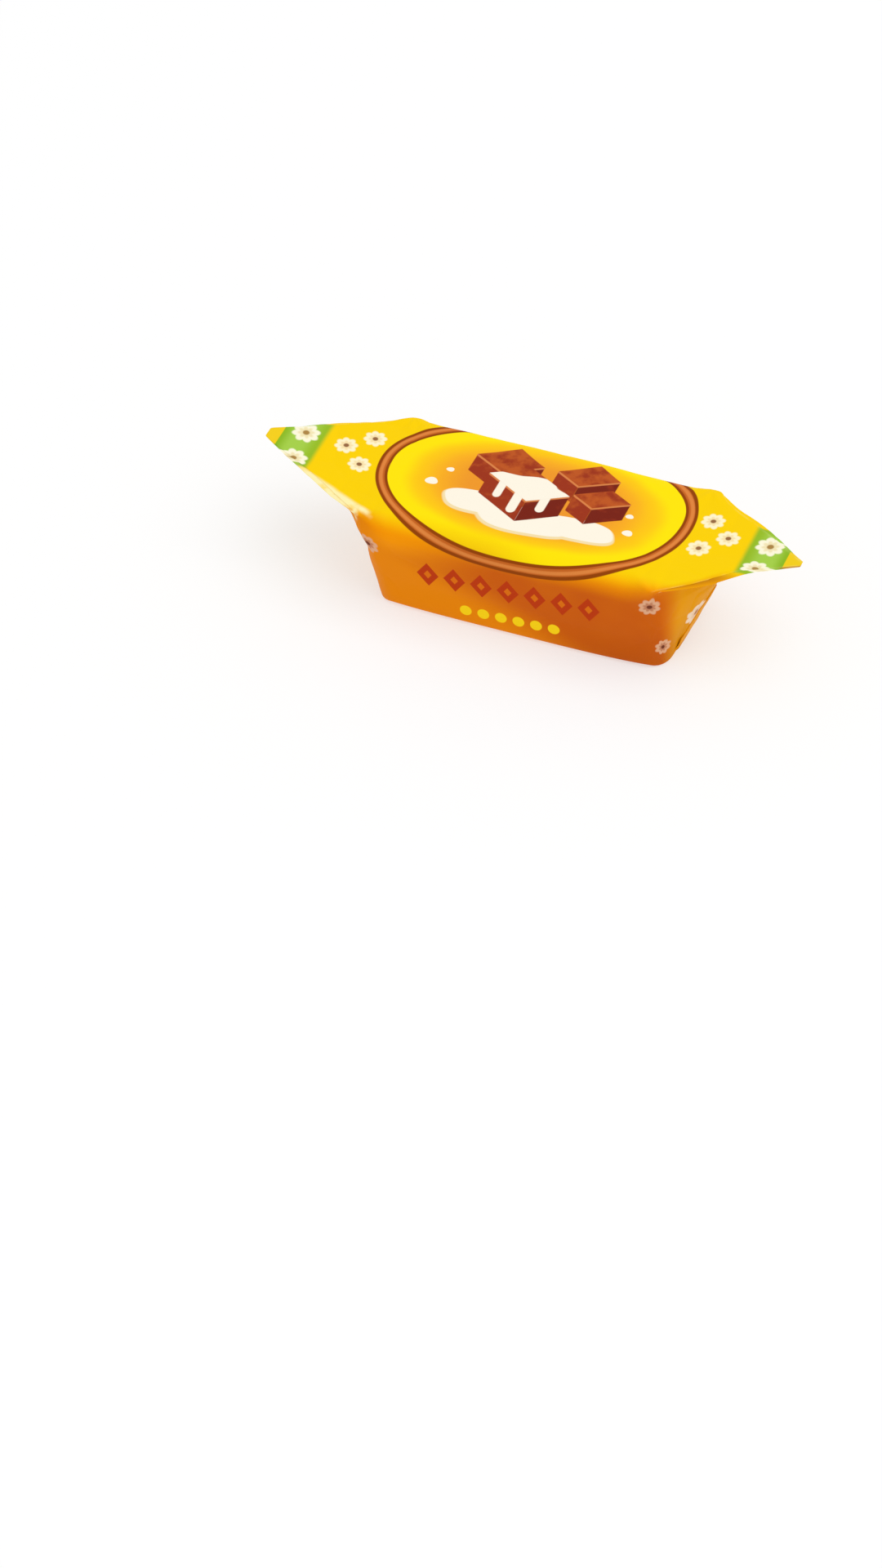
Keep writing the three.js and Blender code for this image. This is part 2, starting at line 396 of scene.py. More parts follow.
def lay_map(piece, u, v):
    """Gives the piece a UV map from millimetres on the flat sheet, one value for each corner."""
    layer = piece.data.uv_layers.new(name="sheet")
    layer.data.foreach_set("uv", (np.column_stack([u, v]) / UNIT).ravel())


def down_side(z, roll=END_ROLL):
    """How far from the middle of the top a spot on a side lies, round a roll of that radius."""
    return HALF_WIDE - roll + roll * math.pi / 2 + (HEIGHT - roll - z) / math.cos(LEAN)


SIDE_TO = down_side(0)
print("down to the base, mm:", round(SIDE_TO, 1))

# %% [markdown]
# Each part of the wrapper unrolls in its own way, so the faces are sorted by where they lie and how
# they face. Both points show the same part of the print underneath. The map is laid before the
# paper is dented.

# %% Wrapper: unroll it
point_of, face_of = corners_of(wrapper)
x, y, z = points_of(wrapper)[point_of].T
facing = rows(wrapper.data.polygons, "normal")[face_of]
middle = rows(wrapper.data.polygons, "center")[face_of] / MM
steep = ease(0.1, 0.6, np.abs(rows(wrapper.data.vertex_normals, "vector")[point_of, 0]))
end, flank = np.where(middle[:, 0] < 0, -1, 1), np.where(middle[:, 1] < 0, -1, 1)
far, wide = np.abs(x), np.abs(y)
edge = point_half(end, np.clip(far - HALF_TOP, 0, POINT))
thick = point_thickness(np.clip(far - HALF_TOP, 0, POINT))
upper_half = HEIGHT - middle[:, 2] < thick / 2

on_point = (np.abs(middle[:, 0]) > HALF_TOP + 0.1) & (middle[:, 2] > STRIP - 0.35)
on_base = (facing[:, 2] < -0.7) & (middle[:, 2] < 1)
on_end = (np.abs(facing[:, 0]) > 0.6) & ~on_point
roll, under_side, under_top = roll_radius(x, y), half_width(z) - wide, HEIGHT - z
turned = np.arctan2(roll - under_side, np.maximum(roll - under_top, 0.001))
on_flat = np.minimum(wide, HALF_WIDE - roll)
over_top = np.where(under_side < roll, HALF_WIDE - roll * (1 - turned), on_flat)
on_underside = on_point & (facing[:, 2] < -0.5) & ~upper_half
tests, ways_down = zip(  # which faces, and how far their spots lie from the middle of the top
    (on_point & (facing[:, 2] > 0.5) & upper_half, wide),  # upper ply of a point
    (on_underside, 2 * edge + thick - wide),  # its lower ply, round the fold
    (on_point, edge + HEIGHT - z),  # the fold itself
    (on_base, SIDE_TO + HALF_BASE - wide),
    (on_end | (under_top > roll), down_side(z, roll)),  # end walls and sides
)
v = np.select(tests, ways_down, default=over_top)
past_corner = np.where(on_point | on_base, 0, np.clip(under_side, 0, None) * steep)
u = np.where(on_underside, -far, end * (far + past_corner))
lay_map(wrapper, u, flank * v)
print("sheet, mm:", round(np.ptp(u)), "x", round(np.ptp(flank * v)))

# %% [markdown]
# ## Corners, ridges and swell
# The upright corners are rounder at the base, where the paper is folded over more of itself. A
# Bevel has one width all along an edge, so the same helper as for the rolls rounds them here, with
# a radius that changes with the height.

# %% Wrapper: round the upright corners
ROUND_LOW, ROUND_HIGH = 2.9, 0.6  # their radius at the base and above

x, y, z = points_of(wrapper).T
side, flank = np.where(x < 0, -1, 1), np.where(y < 0, -1, 1)
below = ease(STRIP - 0.5, STRIP - 1.8, z)
radius = ROUND_LOW + (ROUND_HIGH - ROUND_LOW) * ease(0, 11, z)
in_x, in_y = rounded(wall_reach(side, z) - np.abs(x), half_width(z) - np.abs(y), radius)
x, y = x - side * in_x * below, y - flank * in_y * below
put_points(wrapper, x, y, z)
print("corner radius, mm:", ROUND_LOW, "to", ROUND_HIGH)

# %% [markdown]
# The end walls stand out in a soft ridge where the tucked paper meets under the point, and the
# points are pressed thin along their front folds. Pushing the finished points by a formula gives
# such soft changes without another cage.

# %% Wrapper: the ridge and the pressed folds
RIDGE_SLOPE = 0.46  # how far the ridge leans out for each millimetre of height
RIDGE_MOST = 5.2
LEFT_RIDGE_IN = 1.7  # how much further in the left ridge begins, low on its wall
PRESSED = {-1: 0.6, 1: 0.83}  # how much thinner a point is along its front fold

x, y, z = points_of(wrapper).T
reach = np.abs(x) - HALF_TOP
across = np.abs(y) / half_width(z)
inside = np.clip(1 - across**1.5, 0, 1)
thick = point_thickness(np.clip(reach, 0, POINT))
lower_ply = ease(0.3, 0.8, (HEIGHT - z) / thick)  # 0 on the upper ply of a point, 1 below
from_fold = point_half(side, np.clip(reach, 0, POINT)) + y
pressed = ease(-1, 0.6, reach) * ease(HEIGHT - 2.5, HEIGHT - 1, z) * ease(4, 0.4, from_fold)
z = HEIGHT - (HEIGHT - z) * (1 - np.where(side < 0, PRESSED[-1], PRESSED[1]) * pressed)
on_wall = ease(-3.5, 0, reach + np.where(side < 0, LEFT_RIDGE_IN * ease(9, 6, z), 0))
tapering = np.where(reach > 0, (1 - along_point(x)) ** 1.4, on_wall)
ridge = np.minimum(RIDGE_SLOPE * z, RIDGE_MOST) * inside * tapering * lower_ply
print("ridge, mm:", ridge.max().round(2))

# %% [markdown]
# The top and the sides swell a little over the caramel. The points curl up and each is pulled a
# little to one side, and the corners that they fold from stand out, as on a sweet that was folded
# in haste.

# %% Wrapper: swell, corners and curl
CROWN, SIDE_SWELL, TOP_BACK, BASE_SWELL = 0.3, 0.3, 0.35, 0.7
LIFT = {-1: POINT_LIFT, 1: POINT_LIFT - 0.3}  # the left point curls up further
CURL = 1.4  # above 1, a point bends more towards its tip
PULLED_BACK = {-1: 0.1, 1: 0.4}  # how far the middle of a point lies towards the back
DRAWN_IN = {-1: 0.11, 1: 0.24}  # how far its front fold is drawn in: the left in the middle
CORNERS = (  # end, flank, and how far the corner stands out along x, y and z
    (1, 1, 0.75, 0.5, 0.12),
    (-1, 1, 0.1, 0.45, 0.05),
    (1, -1, -0.2, 0.1, 0),
    (-1, -1, -0.4, -0.45, 0),
)
CORNER_SPREAD = 2.4

full = np.clip(1 - (np.abs(x) / HALF_TOP) ** 4, 0, 1)
crown = CROWN * full * np.clip(1 - across**2, 0, 1) * ease(12, HEIGHT, z)
bulge = SIDE_SWELL * full * 4 * (z / HEIGHT) * (1 - z / HEIGHT) * ease(0.6, 1, across)
bulge += TOP_BACK * full * ease(7, 10, y) * ease(10, 13, z)
bulge += BASE_SWELL * full * across * ease(5, 0, z)
along = along_point(x)
shift = np.where(side < 0, PULLED_BACK[-1], PULLED_BACK[1]) * np.sin(math.pi * along)
push = np.zeros((3, len(x)))
for corner_side, corner_flank, *way in CORNERS:
    away = (x - corner_side * HALF_TOP, y - corner_flank * HALF_WIDE, (z - HEIGHT) * 1.5)
    near = np.exp(-sum(step**2 for step in away) / CORNER_SPREAD**2)
    push += np.outer((corner_side * way[0], corner_flank * way[1], way[2]), near)
right_in, left_in = DRAWN_IN[1] * ease(0.2, 0.6, along), DRAWN_IN[-1] * np.sin(math.pi * along)
drawn_in = np.where(side > 0, right_in, left_in) * (y < 0)
x = x + side * ridge + push[0]
y = y * (1 - drawn_in) + np.sign(y) * bulge + shift + push[1]
lift = np.where(side < 0, LIFT[-1], LIFT[1]) * along_point(x) ** CURL
z = z + crown + lift + PLY * ease(1, 0, z) + push[2]
put_points(wrapper, x, y, z)
print("swollen, mm:", bulge.max().round(2))

# %% [markdown]
# ## Wrinkles
# Waxed paper holds every dent. A cloth simulation gives draped folds, but not the sharp creases of
# paper. A Voronoi noise does: its cells are the flat facets of crushed paper, and the lines between
# them the creases. They are strongest near the ends, where the paper was handled, and the long
# rolls keep small ripples. From each corner of the top short pleats fan out.

# %% Wrapper: creases and pleats
CREASE, CREASE_SIZE, CREASE_FROM = 0.08, 7.5, (3, 11, 7)  # depth, size of a facet, where it starts
RIPPLE, RIPPLE_SIZE, RIPPLE_WAY = 0.07, 2.6, (0.35, 1, 1)  # the ripples are long along x
PLEAT, PLEAT_REACH, PLEATS = 0.04, 3.6, 7
HANDLED = (9, 22)  # how far out the handled ends begin, and where they are full
ROLL_WIDE, ROLL_DEEP = 2.2, 3.0  # how far the ripples reach from a long edge
CALM = 0.35  # how strong creases and ripples are elsewhere


def crumpled(where, size):
    """0 on a facet and 1 on the lines between facets."""
    near, next_near = noise.voronoi(Vector(where) / size)[0][:2]
    return math.exp(-(next_near - near) / 0.09)


normals = rows(wrapper.data.vertex_normals, "vector")
spots = points_of(wrapper)
crease = np.array([crumpled(spot + CREASE_FROM, CREASE_SIZE) for spot in spots])
ripple = np.array([noise.noise(Vector(spot * RIPPLE_WAY) / RIPPLE_SIZE) for spot in spots])
x, y, z = spots.T
handled = CALM + (1 - CALM) * ease(*HANDLED, np.abs(x))
from_edge = ((np.abs(y) - HALF_WIDE) / ROLL_WIDE) ** 2 + ((z - HEIGHT) / ROLL_DEEP) ** 2
depth = -CREASE * crease * handled + RIPPLE * ripple * (CALM + np.exp(-from_edge))
for corner_side in (-1, 1):
    for corner_flank in (-1, 1):
        dx, dy = x - corner_side * HALF_TOP, y - corner_flank * HALF_WIDE
        fan = np.arctan2(dy, dx) * PLEATS + corner_side * 1.3 + corner_flank * 0.7
        out = np.hypot(np.hypot(dx, dy), z - HEIGHT)
        depth += PLEAT * np.sin(fan) * np.exp(-((out / PLEAT_REACH) ** 2)) * ease(0, 1.2, out)
depth *= 1 - 0.75 * ease(0.75, 1, along_point(x))  # less at the tips
depth *= ease(0.2, 1.5, z)  # the base stays flat
# on a point both plies are dented alike, straight up or down, so that they never cross
both_plies = (ease(0, 1.2, np.abs(x) - HALF_TOP) * ease(HEIGHT - 1.6, HEIGHT - 1, z))[:, None]
way = normals + (np.array((0, 0, 1)) - normals) * both_plies
x, y, z = (spots + way * depth[:, None]).T
print("dents, mm:", depth.min().round(2), "to", depth.max().round(2))

# %% [markdown]
# The left point's front fold was rolled over instead of pressed flat, so it has lumps of its own
# under its edge and stands up a little above it.

# %% Wrapper: the rolled fold
LUMP, LUMP_SIZE, STANDS_UP = 0.5, 1.9, 0.12

fold_from = point_half(-1, np.clip(np.abs(x) - HALF_TOP, 0, POINT)) + y
along = along_point(x)
lumps = np.array([noise.noise(Vector((spot, 4.2, 0.5)) / LUMP_SIZE) for spot in x])
rolled = (x < 0) * np.exp(-((fold_from / 1.3) ** 2)) * ease(0, 0.12, along) * ease(0.8, 0.5, along)
under_top = HEIGHT + POINT_LIFT * along**CURL - z
under = ease(0.1, 0.6, under_top / point_thickness(along * POINT))
z = z - rolled * under * LUMP * np.clip(lumps, 0, 1) + rolled * (1 - under) * STANDS_UP
put_points(wrapper, x, y, z)
bpy.ops.object.shade_smooth_by_angle(angle=math.radians(40))
print("wrapper box, mm:", points_of(wrapper).min(0).round(2), points_of(wrapper).max(0).round(2))

# %% [markdown]
# ## Loose plies
# Where the sheet overlaps itself its cut edge lies free. Each such ply is a piece of its own,
# because extruding it out of the wrapper would tear the wrapper's smooth mesh. It is made as by
# hand: a square of paper is held in front of its place and trimmed with straight cuts.

# %% A square of paper and its cuts
SQUARES = 56  # how finely a square of paper is divided


def square_of_paper(name, middle, size, facing):
    """A sheet in front of the wrapper that looks away from it; size is along x, y and z."""
    bpy.ops.object.select_all(action="DESELECT")
    turn = Vector(facing).to_track_quat("Z", "Y").to_euler()
    bpy.ops.mesh.primitive_grid_add(
        x_subdivisions=SQUARES, y_subdivisions=SQUARES, size=1, location=place(*middle), rotation=turn
    )
    piece = start_piece(name)
    bpy.ops.mesh.select_all(action="SELECT")
    bpy.ops.transform.resize(
        value=[side * MM if side else 1 for side in size], center_override=place(*middle)
    )
    return piece


def trim(start, end, keep):
    """Cuts along the line between two places and drops the side away from the place to keep."""
    start, end, keep = Vector(start), Vector(end), Vector(keep)
    line = (end - start).normalized()
    away = (start - keep) - (start - keep).dot(line) * line
    bpy.ops.mesh.select_all(action="SELECT")
    # the threshold it starts with, a tenth of a millimetre, would leave a jagged cut here
    bpy.ops.mesh.bisect(
        plane_co=start * MM, plane_no=away.normalized(), clear_outer=True, threshold=MM / 1000
    )


# %% [markdown]
# The trimmed square is pressed onto the wrapper with a Shrinkwrap and thickened with a Solidify,
# which gives its rim the second finish, the pale one of a cut edge. Towards a fold the ply sinks
# into the wrapper, so it seems to grow out of it.

# %% Press a ply on and give it thickness
FREE, BURIED = 0.03, -0.3  # how high a ply lies above the wrapper, at its free edge and at a fold


def press_on(piece, facing):
    """Presses the sheet straight back onto the wrapper."""
    bpy.ops.object.mode_set(mode="OBJECT")
    axis = "xyz"[int(np.argmax(np.abs(facing)))]
    back = sum(facing) < 0
    modify(
        piece, "SHRINKWRAP", target=wrapper, wrap_method="PROJECT",
        use_negative_direction=not back, use_positive_direction=back,
        **{f"use_project_{name}": name == axis for name in "xyz"},
    )


def finish_ply(piece, facing, height, u, v):
    """Lifts the ply by a height for each point, maps the print on it and gives it thickness."""
    spots = points_of(piece) + np.outer(height, facing)
    put_points(piece, *spots.T)
    points, _ = corners_of(piece)
    lay_map(piece, u[points], v[points])
    modify(piece, "SOLIDIFY", thickness=PLY * MM, offset=1, material_offset_rim=1)
    bpy.ops.object.shade_smooth_by_angle(angle=math.radians(40))


# %% [markdown]
# On each end wall the front side's paper was pushed in first and the back side's laid under it, so
# the front one ends in a free edge a little behind the middle. Over both lies the base's paper,
# folded up as a triangle.

# %% End walls: the tucked side and the folded base
TUCK_LOW, TUCK_HIGH = 0.8, 11.2
TUCK_MIDDLE, TUCK_WIDTH, TUCK_FOLD = 0.2, 11, -5.3  # along y; the last is where it is folded
TUCK_TOP_Y, TUCK_BASE_Y = 3.6, 5.4  # its free edge
FOLD_APEX, FOLD_LOW = 8.2, 0.3
FOLD_WIDTH, FOLD_FOOT, FOLD_TIP = BASE_WIDTH - 1.6, HALF_BASE - 1.4, 0.5
OPEN = 0.16  # how far the tuck's free edge stands off
OUT = 32  # how far out the paper is held before it is pressed on
END_NAMES = {-1: "left", 1: "right"}

plies = []
for side in (-1, 1):
    facing = (side, 0, 0)
    middle = (side * OUT, TUCK_MIDDLE, (TUCK_LOW + TUCK_HIGH) / 2)
    tuck_size = (0, TUCK_WIDTH, TUCK_HIGH - TUCK_LOW)
    tuck = square_of_paper(f"tuck_{END_NAMES[side]}", middle, tuck_size, facing)
    trim((side * OUT, TUCK_BASE_Y, 0), (side * OUT, TUCK_TOP_Y, HEIGHT), middle)
    press_on(tuck, facing)
    x, y, z = points_of(tuck).T
    free_edge = TUCK_BASE_Y + (TUCK_TOP_Y - TUCK_BASE_Y) * z / HEIGHT
    free = ease(TUCK_FOLD, TUCK_FOLD + 1.3, y) * ease(TUCK_HIGH, TUCK_HIGH - 1.4, z)
    height = BURIED + (FREE - BURIED) * free
    height += OPEN * ease(free_edge - 1.6, free_edge, y) * ease(1, 5, z) * ease(TUCK_HIGH, 8, z)
    u = side * (np.abs(wall_reach(side, z)) + half_width(z) + y)
    finish_ply(tuck, facing, height, u, -down_side(z))

    middle = (side * OUT, 0, FOLD_APEX / 2 + FOLD_LOW)
    fold_size = (0, FOLD_WIDTH, FOLD_APEX - FOLD_LOW)
    fold = square_of_paper(f"end_fold_{END_NAMES[side]}", middle, fold_size, facing)
    for flank in (-1, 1):
        corner = (side * OUT, flank * FOLD_FOOT, FOLD_LOW)
        trim(corner, (side * OUT, flank * FOLD_TIP, FOLD_APEX), (side * OUT, 0, 1))
    press_on(fold, facing)
    x, y, z = points_of(fold).T
    height = BURIED + (FREE + PLY - BURIED) * ease(0.6, 2.4, z)
    u = side * (RIGHT_BASE + z)
    finish_ply(fold, facing, height, u, -(SIDE_TO + HALF_BASE + y))
    plies += [tuck, fold]
print([ply.name for ply in plies])

# %% [markdown]
# Under each point the side's paper comes back inwards as a narrow margin that ends in a free edge
# from the tip to the end wall. Its outline is cut a little inside the point's own.

# %% Undersides of the points: the margins
MARGIN_CORNERS = ((22.8, -7.0), (32.4, -0.2), (26.6, 2.6))  # near the bar, near the tip, free
MARGIN_SHEET, MARGIN_AT = 14, 5  # the square that it is cut from, and the height it is held at
MARGIN_BURIED = -0.12  # the point is thin along its fold


def from_line(start, end, x, y):
    """How far a place lies from a line, to the left of the way from its start to its end."""
    run_x, run_y = end[0] - start[0], end[1] - start[1]
    return (run_x * (y - start[1]) - run_y * (x - start[0])) / math.hypot(run_x, run_y)


for side in (-1, 1):
    facing = (0, 0, -1)
    corners = [(side * x, y, MARGIN_AT) for x, y in MARGIN_CORNERS]
    middle = tuple(np.mean(corners, axis=0))
    margin_size = (MARGIN_SHEET, MARGIN_SHEET, 0)
    margin = square_of_paper(f"margin_{END_NAMES[side]}", middle, margin_size, facing)
    for number in range(3):
        trim(corners[number], corners[number - 1], middle)
    press_on(margin, facing)
    x, y, z = points_of(margin).T
    reach = np.clip(np.abs(x) - HALF_TOP, 0, POINT)
    edge = point_half(side, reach)
    from_fold = from_line(MARGIN_CORNERS[0], MARGIN_CORNERS[1], np.abs(x), y)
    from_bar = from_line(MARGIN_CORNERS[2], MARGIN_CORNERS[0], np.abs(x), y)
    free = ease(0, 0.9, from_bar) * ease(0, 0.8, from_fold)
    height = MARGIN_BURIED + (FREE - MARGIN_BURIED) * free
    finish_ply(margin, facing, height, -np.abs(x), -(2 * edge + point_thickness(reach) + y))
    plies.append(margin)
    print(margin.name, len(margin.data.polygons), "faces")

# %% [markdown]
# Underneath, the sheet's outer edge runs the whole length of the bar. The sweet stands on it, so
# this ply lies tight on the wrapper and only its thickness shows.

# %% Base: the outer layer's edge
SEAM_Y, LAYER_FROM = 3.2, -7.2
FLAP_MIDDLE, FLAP_INSET, FLAP_AT = 1.2, 0.8, -3  # along x, short of each end, and the height

middle = (FLAP_MIDDLE, (SEAM_Y + LAYER_FROM) / 2, FLAP_AT)
flap_size = (RIGHT_BASE + LEFT_BASE - 2 * FLAP_INSET, SEAM_Y - LAYER_FROM, 0)
base_flap = square_of_paper("base_flap", middle, flap_size, (0, 0, -1))
press_on(base_flap, (0, 0, -1))
x, y, z = points_of(base_flap).T
height = BURIED - BURIED * ease(LAYER_FROM, LAYER_FROM + 1.4, y)
finish_ply(base_flap, (0, 0, -1), height, x, -(SIDE_TO + y - LAYER_FROM))
plies.append(base_flap)
for piece in plies:
    low, high = points_of(piece).min(0).round(1), points_of(piece).max(0).round(1)
    print(piece.name, len(piece.data.polygons), "faces, from", low, "to", high)

# %% [markdown]
# ## Shader maths
# The print is drawn by sums on the sheet's map, so it stays sharp at any size and needs no picture.
# A small class wraps a socket, so that an expression such as `u * u + 1` adds its Math nodes.


# %% A wire that can be used in sums
class Wire:
    """A socket of a finish that can be used in sums, as a number can."""

    def __init__(self, finish, socket):
        self.finish, self.socket = finish, socket

    def maths(self, operation, *values):
        """Adds a Math node."""
        sockets = dict(enumerate(values))
        return self.finish.node("ShaderNodeMath", {"operation": operation}, sockets)

    def __add__(self, other):
        return self.maths("ADD", self, other)

    def __sub__(self, other):
        return self.maths("SUBTRACT", self, other)

    def __rsub__(self, other):
        return self.maths("SUBTRACT", other, self)

    def __mul__(self, other):
        return self.maths("MULTIPLY", self, other)

    def __truediv__(self, other):
        return self.maths("DIVIDE", self, other)

    def __pow__(self, other):
        return self.maths("POWER", self, other)

    def __abs__(self):
        return self.maths("ABSOLUTE", self)

    __radd__, __rmul__ = __add__, __mul__

    def most(self, other):
        return self.maths("MAXIMUM", self, other)

    def sine(self):
        return self.maths("SINE", self)

    def step(self, low, high):
        """0 at low and 1 at high, smooth between; low may be the larger one."""
        values = {"Value": self, "From Min": low, "From Max": high}
        return self.finish.node("ShaderNodeMapRange", {"interpolation_type": "SMOOTHSTEP"}, values)

    def between(self, low, high, soft=0.07):
        """1 from low to high and 0 outside."""
        return self.step(low - soft, low + soft) * self.step(high + soft, high - soft)

    def repeat(self, pitch):
        """The distance from the middle of the nearest cell of a row."""
        return self.maths("FLOORED_MODULO", self + pitch / 2, pitch) - pitch / 2


# %% [markdown]
# A finish is a material, and one method of it adds any node. Colours are laid one over another with
# Mix nodes, as inks are, because a Math node would turn a colour grey.


# %% A finish and its inks
class Finish:
    """A material whose nodes are added one by one."""

    def __init__(self, name):
        self.material = bpy.data.materials.new(name)
        self.material.use_nodes = True
        self.nodes, self.links = self.material.node_tree.nodes, self.material.node_tree.links
        self.shader = self.nodes["Principled BSDF"]

    def node(self, kind, settings=None, values=None, output=0):
        """Adds a node with its settings, and a value or a wire for each socket that is named."""
        made = self.nodes.new(kind)
        for name, value in (settings or {}).items():
            setattr(made, name, value)
        for name, value in (values or {}).items():
            self.plug(made.inputs[name], value)
        return Wire(self, made.outputs[output])

    def plug(self, socket, value):
        """Links a wire to a socket, or sets the socket to a value."""
        if isinstance(value, Wire):
            self.links.new(value.socket, socket)
        else:
            socket.default_value = value

    def paint(self, under, over, mask):
        """The colour under, covered by the colour over where the mask is 1."""
        return self.node("ShaderNodeMix", {"data_type": "RGBA"}, {0: mask, 6: under, 7: over}, 2)

    def noise(self, size, detail=2.0, **settings):
        """A cloudy value from 0 to 1, with clouds of that size in millimetres."""
        where = self.node("ShaderNodeTexCoord", output="Object")
        values = {"Vector": where, "Scale": 1 / (size * MM), "Detail": detail, **settings}
        return self.node("ShaderNodeTexNoise", {}, values)

    def set(self, **values):
        """Sets the shader's sockets; an underscore in a name stands for a space."""
        for name, value in values.items():
            self.plug(self.shader.inputs[name.replace("_", " ")], value)


def ink(red, green, blue):
    """A colour from its display values, 0 to 255, as linear light."""
    parts = [part / 255 for part in (red, green, blue)]
    linear = [p / 12.92 if p <= 0.04045 else ((p + 0.055) / 1.055) ** 2.4 for p in parts]
    return (*linear, 1)


# %% [markdown]
# ## The printed paper
# The real paper is printed flat and then wrapped, so its finish reads the sheet's map: u along the
# bar and v across it, in millimetres. The print lies a little off the middle of the bar, to the
# right and to the back, as on a machine-wrapped sweet. First come the values that say where a spot
# lies.

# %% Waxed paper: where a spot lies
PRINT_SHIFT, PRINT_BACK = 0.45, 2.28

wax = Finish("waxed_paper")
flat = wax.node("ShaderNodeUVMap", {"uv_map": "sheet"})
u = wax.node("ShaderNodeSeparateXYZ", {}, {0: flat}, "X") * UNIT + PRINT_SHIFT
v = wax.node("ShaderNodeSeparateXYZ", {}, {0: flat}, "Y") * UNIT
far, wide = abs(u), abs(v)
to_right = u * (1 - 2 * v.step(-0.01, 0.01))  # along the bar as read from either side
to_end = (far + u.step(0.1, -0.1) * 2).step(20, 23.5)  # the left end wall lies further in
down = wide - v.step(-0.1, 0.1) * (1 - to_end) * PRINT_BACK * 2  # down either side, as printed
under_bar = wide.step(24.5, 27)
clouds = wax.noise(6.0) - 0.5
print("places:", len(wax.nodes), "nodes")

# %% [markdown]
# The ground is yellow on top. Round the roll it turns to amber, lighter towards the left as painted
# bounce light, and down the sides to a deep orange that gets stronger towards the right. That orange
# is the print's, partly darkened as painted shade of the sides, and low on the right more painted
# shade darkens it. The end walls and the base are a plainer amber, lighter on the end walls partly as
# painted light. Each change is a soft step in a value from the last cell.

# %% Waxed paper: the ground
YELLOW, ORANGE, LOW_RIGHT_SHADE = ink(250, 208, 2), ink(205, 93, 8), ink(150, 62, 10)
AMBER, END_AMBER, BOUNCE_LIT_AMBER = ink(235, 135, 2), ink(234, 156, 2), ink(252, 154, 0)

lower = (down - 15).most(0)  # further down, the deep orange begins further right
deep = down.step(8.8, 12.6) * (to_right - lower * 2.0).step(-16, 0) * (1 - to_end)
shaded_low_right = wide.step(15, 25) * to_right.step(2, 16) * (1 - under_bar)
# painted bounce light: the amber under the roll is lighter towards the left
under_roll = wax.paint(AMBER, BOUNCE_LIT_AMBER, to_right.step(-18.5, -14))
# the lighter amber of the end walls is partly print and partly painted light
warm = wax.paint(AMBER, END_AMBER, to_end.most(under_bar))
colour = wax.paint(YELLOW, under_roll, (down - to_end).step(7.6, 10.8))
colour = wax.paint(colour, warm, (down + to_end * 2.5).step(11.2, 14.2))
# the deep orange is partly the print's own and partly painted shade of the sides
colour = wax.paint(colour, ORANGE, deep * (0.95 + clouds * 0.3) * (1 - under_bar))
# painted shade, darker low on the right of the sides
colour = wax.paint(colour, LOW_RIGHT_SHADE, shaded_low_right * 0.28)
print("ground:", len(wax.nodes), "nodes")

# %% [markdown]
# A plain oval fills the top. Its rim is a copper line between two darker ones, and its field runs
# from orange in the middle to lemon at the rim. The distance from the oval is the value of its
# equation divided by that value's slope.

# %% Waxed paper: the oval's outline
OVAL_MIDDLE = (0.05, PRINT_BACK)
OVAL_LONG, OVAL_FRONT, OVAL_BACK = 19.45, 13.2, 10.6
OVAL_POWER = 2.17  # 2 is an ellipse, and a larger power is squarer
OVAL_TILT, FRONT_TILT = 0.054, 0.021


def length_of(a, b):
    """How long a way is that has these two parts."""
    return (a * a + b * b) ** 0.5


off_u, off_v = u - OVAL_MIDDLE[0], v - OVAL_MIDDLE[1]
tilt = OVAL_TILT + (FRONT_TILT - OVAL_TILT) * off_v.step(0, -9)
oval_u, oval_v = off_u + off_v * OVAL_TILT, off_v - off_u * tilt
short = OVAL_BACK + (OVAL_FRONT - OVAL_BACK) * oval_v.step(0.5, -0.5)
scaled_u, scaled_v = abs(oval_u) / OVAL_LONG, abs(oval_v) / short
level = scaled_u**OVAL_POWER + scaled_v**OVAL_POWER
slope_u, slope_v = scaled_u ** (OVAL_POWER - 1) / OVAL_LONG, scaled_v ** (OVAL_POWER - 1) / short
slope = OVAL_POWER * length_of(slope_u, slope_v)
from_rim = (level - 1) / slope.most(0.02)
print("oval:", len(wax.nodes), "nodes")

# %% [markdown]
# The field's colours follow a second, softer oval inside the first. They are painted one over the
# other from the middle outwards. Then painted shade darkens the field's front left, where the top
# rolls away towards the front, and the rim goes over them all.

# %% Waxed paper: the oval's field and rim
GLOW_MIDDLE, GLOW_SIZE, GLOW_POWER = (0.4, 1.1), (15.5, 8.4), 2.37
FIELD = (  # where each colour begins, where it is full, and the colour
    (0.2, 0.62, ink(248, 173, 34)),
    (0.52, 0.92, ink(252, 198, 20)),
    (0.85, 1.3, ink(255, 228, 6)),
)
RIM, FRONT_RIM = 0.76, 0.16  # half the rim's breadth, and how much broader it is in front

glow = (abs(u - GLOW_MIDDLE[0]) / GLOW_SIZE[0]) ** GLOW_POWER
glow = glow + (abs(v - GLOW_MIDDLE[1]) / GLOW_SIZE[1]) ** GLOW_POWER + clouds * 0.2
field = ink(238, 152, 42)
for begins, ends, tone in FIELD:
    field = wax.paint(field, tone, glow.step(begins, ends))
# painted shade where the roll turns the top towards the front
field = wax.paint(field, ink(236, 164, 8), v.step(-6.5, -10.5) * u.step(6, -3) * 0.5)
colour = wax.paint(colour, field, from_rim.step(0.06, -0.06))
across_rim = abs(from_rim) / (RIM + v.step(-4, -11) * FRONT_RIM)
copper = wax.paint(ink(196, 100, 34), ink(222, 132, 62), abs(from_rim - 0.08).step(0.34, 0.1))
rim = wax.paint(copper, ink(146, 66, 8), across_rim.step(0.42, 0.6))
colour = wax.paint(colour, rim, across_rim.step(1.08, 0.92))
print("oval:", len(wax.nodes), "nodes")

